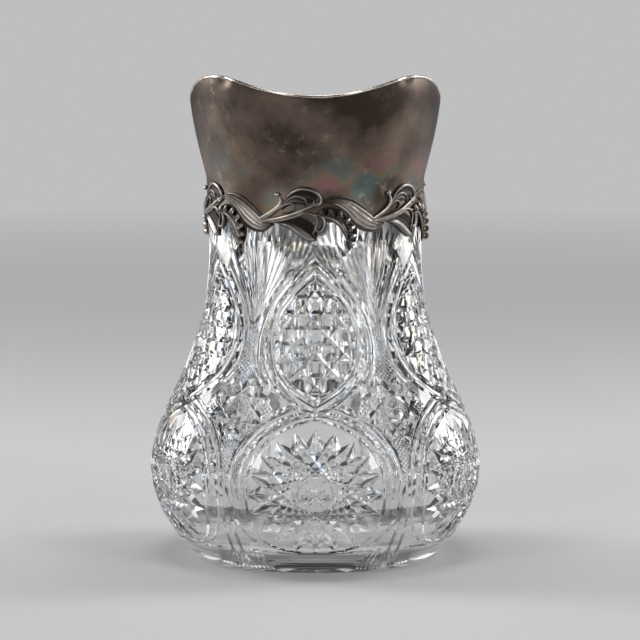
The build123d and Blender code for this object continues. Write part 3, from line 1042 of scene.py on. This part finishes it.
def cast_scroll():
    casting = bmesh.new()
    for line in (BUD_STEM, LOOP, LONG_STEM, THIN_STEM, HOOD_RIM, TURNED_RIM):
        drawn(casting, line, rod)
    drawn(casting, SCROLL_PLATE, lambda width: blade(width, 0.1, ribs=2, rib=0.06))
    drawn(casting, SCROLL, lambda width: blade(width, 1.5))
    drawn(casting, HOOD, lambda width: blade(width, 0.25, ribs=2, rib=0.1))
    drawn(casting, TURNED_INSIDE, lambda width: blade(width, -0.15, ribs=3, rib=0.08, lip=0.4))
    drawn(casting, TURNED, lambda width: blade(width, 1.3, ribs=2, rib=0.14))
    drawn(casting, CURL, lambda width: blade(width, 1.5))
    bead(casting, BUD)
    return casting


def cast_sprig():
    casting = bmesh.new()
    drawn(casting, SICKLE, lambda width: blade(width, -0.1, lip=0.5))
    drawn(casting, SICKLE_RIM, rod)
    drawn(casting, SICKLE_FOOT, lambda width: blade(width, 1.2))
    for place in BELLS:
        bell(casting, place)
    return casting


castings = []
for cast, kind in ((cast_leaf, "border_leaf"), (cast_scroll, "border_scroll"), (cast_sprig, "lily_sprig")):
    master = cast()
    bmesh.ops.recalc_face_normals(master, faces=master.faces)
    for unit in range(UNITS):
        copy = master.copy()
        turn = Matrix.Rotation(radians(unit * UNIT_ANGLE), 3, "Z")
        bmesh.ops.rotate(copy, verts=copy.verts, cent=(0, 0, 0), matrix=turn)
        casting = finish_mesh(copy, "cast_" + kind + "_" + str(unit + 1), SHARP_CAST)
        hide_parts(kind + "_" + str(unit + 1))
        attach(casting, "root")
        castings.append(casting)
    print(kind, len(master.faces), "faces each")
    master.free()

# %% [markdown]
# The collar was raised from one sheet, so its band runs into its flare without a crease. It follows the
# frame: rays sent in from outside find the sheet at every angle and height, a few neighbours are averaged
# so that the light runs smoothly over it, and the solidify operator gives the sheet its thickness.

# %% Read the collar's rim and surface from the frame
RIM_STEPS = 180
SHEET_ROWS = 44
SHEET = 1.2
WIRE_RADIUS = 0.8
LOWEST_RIM, ABOVE_RIM = 225.0, 262.0
SMOOTHINGS = 3


def outward_from(angle):
    return Vector((sin(angle), -cos(angle), 0))


def reach_at(node, angle, height):
    """Radius in millimetres at which a ray from outside meets the near side of a node, or nothing."""
    out = outward_from(angle)
    found, place, normal, index = node.ray_cast(out * RAY_START + Vector((0, 0, height * MM)), -out)
    return place.dot(out) / MM if found and place.dot(out) > 0.02 else None


def rim_height(angle):
    """Height of the wire's top, by halving between a height on the collar and one above it."""
    low, high = LOWEST_RIM, ABOVE_RIM
    while high - low > 0.02:
        middle = (low + high) / 2
        if reach_at(nodes["rim_wire"], angle, middle) or reach_at(nodes["silver_collar"], angle, middle):
            low = middle
        else:
            high = middle
    return low


rim_angles = np.arange(RIM_STEPS) * tau / RIM_STEPS
rim_heights = np.array([rim_height(angle) for angle in rim_angles])
sheet_tops = rim_heights - 2 * WIRE_RADIUS
sheet_radii = np.zeros((SHEET_ROWS + 1, RIM_STEPS))
for column, angle in enumerate(rim_angles):
    reach = BAND_RADIUS
    for row in range(SHEET_ROWS + 1):
        height = COLLAR_FOOT + 0.05 + (sheet_tops[column] - COLLAR_FOOT - 0.1) * row / SHEET_ROWS
        reach = reach_at(nodes["silver_collar"], angle, height) or reach
        sheet_radii[row, column] = reach
for smoothing in range(SMOOTHINGS):
    sheet_radii[1:-1] = (sheet_radii[:-2] + 2 * sheet_radii[1:-1] + sheet_radii[2:]) / 4
print("rim from", round(rim_heights.min(), 1), "to", round(rim_heights.max(), 1), "mm")


# %% Raise the collar's sheet
SHARP_SHEET = 40


def raise_collar():
    """Spins an upright line, moves each vertex to the sheet's place in the frame and gives it a thickness."""
    bm = bmesh.new()
    foot = [bm.verts.new((0, -BAND_RADIUS, row)) for row in range(SHEET_ROWS + 1)]
    edges = [bm.edges.new(pair) for pair in zip(foot, foot[1:])]
    bmesh.ops.spin(bm, geom=foot + edges, cent=(0, 0, 0), axis=(0, 0, 1), angle=tau, steps=RIM_STEPS,
                   use_merge=True)
    for vert in bm.verts:
        angle = atan2(vert.co.x, -vert.co.y) % tau
        column = round(angle / tau * RIM_STEPS) % RIM_STEPS
        row = round(vert.co.z)
        height = COLLAR_FOOT + (sheet_tops[column] - COLLAR_FOOT) * row / SHEET_ROWS
        vert.co = (outward_from(angle) * sheet_radii[row, column] + Vector((0, 0, height))) * MM
    bmesh.ops.recalc_face_normals(bm, faces=bm.faces)
    bmesh.ops.solidify(bm, geom=bm.faces[:], thickness=SHEET * MM)
    bmesh.ops.recalc_face_normals(bm, faces=bm.faces)
    return bm


raised = raise_collar()
print("collar", len(raised.faces), "faces,", sum(not edge.is_manifold for edge in raised.edges), "open edges")
collar = finish_mesh(raised, "raised_collar", SHARP_SHEET)
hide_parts("silver_collar")
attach(collar, "root")

# %% [markdown]
# The wire. A thin sheet has a raw edge, so a round wire is soldered along it, which stiffens the lip and
# catches the light. A curve with a bevel would do too. Here a ring of corners stands at each place of the
# lip, and bridging every ring to the next makes a closed tube that follows each dip.

# %% The wire round the lip
WIRE_SIDES = 10
SHARP_WIRE = 60


def ring_bar(places, radius):
    """A closed round wire through places, bridged from one ring of corners to the next."""
    bm = bmesh.new()
    rings = []
    turns = [tau * side / WIRE_SIDES for side in range(WIRE_SIDES)]
    for place, angle in zip(places, rim_angles):
        out = outward_from(angle)
        spokes = [out * cos(turn) + Vector((0, 0, sin(turn))) for turn in turns]
        corners = [bm.verts.new((place + spoke * radius) * MM) for spoke in spokes]
        rings.append([bm.edges.new(pair) for pair in zip(corners, corners[1:] + corners[:1])])
    for ring, following in zip(rings, rings[1:] + rings[:1]):
        bmesh.ops.bridge_loops(bm, edges=ring + following)
    bmesh.ops.recalc_face_normals(bm, faces=bm.faces)
    return bm


wire_places = [outward_from(angle) * (sheet_radii[-1, column] - SHEET / 2)
               + Vector((0, 0, rim_heights[column] - WIRE_RADIUS)) for column, angle in enumerate(rim_angles)]
wire_mesh = ring_bar(wire_places, WIRE_RADIUS)
print("wire", len(wire_mesh.faces), "faces,",
      sum(not edge.is_manifold for edge in wire_mesh.edges), "open edges")
wire = finish_mesh(wire_mesh, "lip_wire", SHARP_WIRE)
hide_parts("rim_wire")
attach(wire, "root")

# %% [markdown]
# The collar's silver. It has gone a warm grey-brown with darker clouds of tarnish and is worn bright in
# spots, with the thin pink and blue-green colours of old tarnish near the border. Towards the rim it is
# painted darker
# still: painted shade that stands in for the dark reflection under the rim. It is one metal shader. Noise of
# several sizes drives its colour and roughness, and the height on the collar decides where each shows.

# %% Tarnished collar silver
# The dark brown below is both the colour of the tarnish clouds and the painted shade under the rim.
WARM_SILVER, BROWN_TARNISH_AND_SHADE = (0.24, 0.18, 0.145), (0.045, 0.032, 0.025)
WORN_SPOT = (0.34, 0.29, 0.25)
BLUE_GREEN, STRAW, PINK = (0.12, 0.2, 0.2, 1), (0.26, 0.21, 0.13, 1), (0.34, 0.15, 0.17, 1)


def tarnished_silver():
    material, n, l = new_material("tarnished_silver")
    bsdf = n["Principled BSDF"]
    bsdf.inputs["Metallic"].default_value = 1.0
    place, parts = place_parts(n, l)
    cloud = mapped(n, l, noise(n, l, place, 28, 5), 0.38, 0.66)
    # Painted shade: the share of dark brown grows with height towards the rim, standing in for the dark
    # reflection there; the cloud noise adds the real tarnish.
    high = mapped(n, l, parts["Z"], 0.204, 0.236)
    dark = combine(n, l, "MULTIPLY", combine(n, l, "ADD", mapped(n, l, high, 0, 1, 0.1, 0.55), cloud), 0.75)
    colour = blend(n, l, dark, WARM_SILVER, BROWN_TARNISH_AND_SHADE)
    spots = mapped(n, l, noise(n, l, place, 150, 6, 0.7), 0.55, 0.72)
    patch = mapped(n, l, noise(n, l, place, 17, 2), 0.5, 0.6)
    colour = blend(n, l, combine(n, l, "MULTIPLY", spots, patch), colour, WORN_SPOT)
    tint_share = mapped(n, l, noise(n, l, place, 33, 2), 0.48, 0.62, 0, 0.55)
    near_border = mapped(n, l, parts["Z"], 0.226, 0.199)
    tint = n.new("ShaderNodeValToRGB")
    first, last = tint.color_ramp.elements
    first.position, last.position = 0.38, 0.62
    first.color, last.color = BLUE_GREEN, PINK
    tint.color_ramp.elements.new(0.5).color = STRAW
    l.new(noise(n, l, place, 52, 2), tint.inputs["Fac"])
    colour = blend(n, l, combine(n, l, "MULTIPLY", tint_share, near_border), colour, tint.outputs[0])
    l.new(colour, bsdf.inputs["Base Color"])
    l.new(mapped(n, l, cloud, 0, 1, 0.26, 0.4), bsdf.inputs["Roughness"])
    bump = n.new("ShaderNodeBump")
    bump.inputs["Strength"].default_value = 0.08
    bump.inputs["Distance"].default_value = 0.0004
    l.new(noise(n, l, place, 420, 4), bump.inputs["Height"])
    l.new(bump.outputs[0], bsdf.inputs["Normal"])
    return material


# %% [markdown]
# The cast border is the same silver, but the silversmith blackened it and rubbed the ridges bright again.
# The distance from the axis tells a ridge from a hollow, so it drives the colour, broken up by fine noise.

# %% Oxidised cast silver
BLACKENED, RUBBED = (0.025, 0.021, 0.019), (0.42, 0.375, 0.34)
HOLLOW, RIDGE = 0.35, 1.5


def oxidised_silver():
    material, n, l = new_material("oxidised_silver")
    bsdf = n["Principled BSDF"]
    bsdf.inputs["Metallic"].default_value = 1.0
    place, parts = place_parts(n, l)
    flat_place = n.new("ShaderNodeCombineXYZ")
    l.new(parts["X"], flat_place.inputs["X"])
    l.new(parts["Y"], flat_place.inputs["Y"])
    length = n.new("ShaderNodeVectorMath")
    length.operation = "LENGTH"
    l.new(flat_place.outputs[0], length.inputs[0])
    ridge = mapped(n, l, length.outputs["Value"], (BAND_RADIUS + HOLLOW) * MM, (BAND_RADIUS + RIDGE) * MM)
    rubbed = combine(n, l, "MULTIPLY", ridge, mapped(n, l, noise(n, l, place, 260, 3), 0.3, 0.6, 0.55, 1.0))
    colour = blend(n, l, rubbed, BLACKENED, RUBBED)
    l.new(colour, bsdf.inputs["Base Color"])
    l.new(mapped(n, l, rubbed, 0, 1, 0.5, 0.32), bsdf.inputs["Roughness"])
    return material


# %% [markdown]
# The wire is rubbed by every cloth that dries the pitcher, so it stays the brightest silver of all. The bed
# of plaster between collar and glass is matt and slightly mottled. Both need no more than one noise for the
# colour.

# %% Worn bright wire and plaster
BRIGHT_SILVER, DULLED_SILVER = (0.7, 0.64, 0.58), (0.36, 0.3, 0.26)
STAINED_PLASTER, WHITE_PLASTER = (0.66, 0.62, 0.55), (0.8, 0.77, 0.71)


def bright_wire():
    material, n, l = new_material("bright_wire")
    bsdf = n["Principled BSDF"]
    bsdf.inputs["Metallic"].default_value = 1.0
    place, parts = place_parts(n, l)
    dulled = mapped(n, l, noise(n, l, place, 90, 4), 0.4, 0.65)
    l.new(blend(n, l, dulled, BRIGHT_SILVER, DULLED_SILVER), bsdf.inputs["Base Color"])
    l.new(mapped(n, l, noise(n, l, place, 300, 3), 0.3, 0.7, 0.18, 0.34), bsdf.inputs["Roughness"])
    return material


def old_plaster():
    material, n, l = new_material("old_plaster")
    bsdf = n["Principled BSDF"]
    place, parts = place_parts(n, l)
    colour = blend(n, l, noise(n, l, place, 180, 4), STAINED_PLASTER, WHITE_PLASTER)
    l.new(colour, bsdf.inputs["Base Color"])
    bsdf.inputs["Roughness"].default_value = 0.85
    return material


def dress(piece, material):
    piece.data.materials.clear()
    piece.data.materials.append(material)


dress(collar, tarnished_silver())
dress(wire, bright_wire())
dress(nodes["plaster_bed"], old_plaster())
cast_silver = oxidised_silver()
for casting in castings:
    dress(casting, cast_silver)
print("dressed", len(castings), "castings, the collar, the wire and the plaster")

# %% [markdown]
# The studio. The camera sees a pale floor that runs into a pale backdrop of the same colour. Close to the
# foot, rays that pass through the glass see the floor in its plain colour, so that the foot doesn't go
# dark, and far out the floor fades into the backdrop, so that no horizon shows.

# %% Floor
PALE = (0.52, 0.52, 0.525)
FLOOR_RADIUS = 8.0
FLOOR_DROP = 0.0002
FADE_OUT = (0.4, 2.0)
FOOT_ZONE = (0.12, 0.3)
bm = bmesh.new()
bmesh.ops.create_circle(bm, cap_ends=True, segments=128, radius=FLOOR_RADIUS)
bmesh.ops.translate(bm, verts=bm.verts, vec=(0, 0, -FLOOR_DROP))
floor = finish_mesh(bm, "floor", 30)


def pale_floor():
    material, n, l = new_material("pale_floor")
    bsdf = n["Principled BSDF"]
    bsdf.inputs["Base Color"].default_value = (*PALE, 1)
    bsdf.inputs["Roughness"].default_value = 0.7
    plain = n.new("ShaderNodeEmission")
    plain.inputs["Color"].default_value = (*PALE, 1)
    place, parts = place_parts(n, l)
    distance = n.new("ShaderNodeVectorMath")
    distance.operation = "LENGTH"
    l.new(place, distance.inputs[0])
    far = mapped(n, l, distance.outputs["Value"], *FADE_OUT)
    foot = mapped(n, l, distance.outputs["Value"], *FOOT_ZONE, 1, 0)
    ray = n.new("ShaderNodeLightPath").outputs
    seen_through = combine(n, l, "MAXIMUM", ray["Is Glossy Ray"], ray["Is Transmission Ray"])
    mix = n.new("ShaderNodeMixShader")
    direct = combine(n, l, "MULTIPLY", far, ray["Is Camera Ray"])
    l.new(combine(n, l, "MAXIMUM", direct, combine(n, l, "MULTIPLY", foot, seen_through)), mix.inputs[0])
    l.new(bsdf.outputs[0], mix.inputs[1])
    l.new(plain.outputs[0], mix.inputs[2])
    l.new(mix.outputs[0], n["Material Output"].inputs["Surface"])
    material.cycles.emission_sampling = "NONE"
    return material


floor.data.materials.append(pale_floor())
print("floor", FLOOR_RADIUS, "m in radius")

# %% [markdown]
# The room. Cut glass shows what lies around it, so the surroundings matter more than the lamps. In an even
# room both sides of a groove look the same and the pattern vanishes. So every ray except the camera's own
# meets upright strips, dark, bright and pale, four times round, with a cool and a warm edge for the small
# glints of colour: one side of a groove then catches a bright strip and the other a dark one. The ceiling
# is dark.

# %% Strips of light and dark round the glass
world = bpy.data.worlds.new("studio")
bpy.context.scene.world = world
world.use_nodes = True
n, l = world.node_tree.nodes, world.node_tree.links
background = n["Background"]
DARK = (0.02, 0.02, 0.022)
BRIGHT = (2.0, 2.0, 2.0)
COOL, WARM = (1.3, 1.6, 2.2), (2.2, 1.8, 1.3)
LOW_RING = [(0, BRIGHT), (0.04, BRIGHT), (0.08, WARM), (0.11, DARK), (0.38, DARK), (0.42, PALE), (0.58, PALE),
            (0.61, DARK), (0.73, DARK), (0.76, COOL), (0.8, BRIGHT), (1, BRIGHT)]
RING_CHANGE = (0.17, 0.27)
CEILING_EDGE = (0.5, 0.7)
HIGH_RING = [(0, BRIGHT), (0.03, BRIGHT), (0.09, DARK), (0.76, DARK), (0.82, BRIGHT), (1, BRIGHT)]


direction = n.new("ShaderNodeSeparateXYZ")
l.new(n.new("ShaderNodeTexCoord").outputs["Generated"], direction.inputs[0])
heading = combine(n, l, "ARCTAN2", direction.outputs["X"], direction.outputs["Y"])
sector = combine(n, l, "FRACT", combine(n, l, "MULTIPLY_ADD", heading, 4 / tau, 0.5))


def ring(places):
    """Colours by the share of a quarter turn."""
    node = n.new("ShaderNodeValToRGB")
    for place, colour in places:
        stop = node.color_ramp.elements[place] if place in (0, 1) else node.color_ramp.elements.new(place)
        stop.color = (*colour, 1)
    l.new(sector, node.inputs["Fac"])
    return node.outputs[0]


rise = mapped(n, l, direction.outputs["Z"], *RING_CHANGE)
walls = blend(n, l, rise, ring(LOW_RING), ring(HIGH_RING))
ceiling = mapped(n, l, direction.outputs["Z"], *CEILING_EDGE)
seen = n.new("ShaderNodeLightPath").outputs["Is Camera Ray"]
l.new(blend(n, l, seen, blend(n, l, ceiling, walls, DARK), PALE), background.inputs["Color"])
print("strips low and high", len(LOW_RING), len(HIGH_RING))

# %% [markdown]
# The lamps. Two tall softboxes stand behind the pitcher to the left and right, two small ones in front and
# one above. They light the floor and glint on silver and on the glass's surface, but they are hidden from
# rays that go through the glass, where each would be repeated in every facet.

# %% Softboxes
LIGHT_AIM = Vector((0, 0, 0.12))


def soft_light(name, place, size, power):
    lamp = bpy.data.lights.new(name, "AREA")
    lamp.shape = "RECTANGLE"
    lamp.size, lamp.size_y = size
    lamp.energy = power
    light = bpy.data.objects.new(name, lamp)
    light.visible_transmission = False
    light.location = place
    light.rotation_euler = (LIGHT_AIM - Vector(place)).to_track_quat("-Z", "Y").to_euler()
    bpy.context.scene.collection.objects.link(light)


soft_light("left_softbox", (-1.15, 0.42, 0.62), (0.42, 1.0), 12)
soft_light("right_softbox", (1.15, 0.42, 0.62), (0.42, 1.0), 12)
soft_light("left_front_softbox", (-0.95, -1.0, 0.7), (0.25, 0.7), 4)
soft_light("right_front_softbox", (0.95, -1.0, 0.7), (0.25, 0.7), 4)
soft_light("top_softbox", (0, 0.1, 1.5), (0.8, 0.6), 8)

# %% [markdown]
# The camera. A long lens from two metres away flattens the view, as in the photograph. Its small shifts
# slide the picture until the pitcher stands where it should, without turning the camera.

# %% Camera
CAMERA_DISTANCE = 1.976
CAMERA_HEIGHT = 0.361
AIM_HEIGHT = 0.121
LENS = 215.3
PHOTO = 640
PHOTO_MIDDLE = (315.3, 321.6)
camera = bpy.data.objects.new("camera", bpy.data.cameras.new("camera"))
bpy.context.scene.collection.objects.link(camera)
camera.location = (0, -CAMERA_DISTANCE, CAMERA_HEIGHT)
camera.rotation_euler = (Vector((0, 0, AIM_HEIGHT)) - camera.location).to_track_quat("-Z", "Y").to_euler()
camera.data.lens = LENS
camera.data.shift_x = (PHOTO / 2 - PHOTO_MIDDLE[0]) / PHOTO
camera.data.shift_y = (PHOTO_MIDDLE[1] - PHOTO / 2) / PHOTO
bpy.context.scene.camera = camera
bpy.context.scene.view_settings.view_transform = "Standard"
print("camera", CAMERA_DISTANCE, "m away")
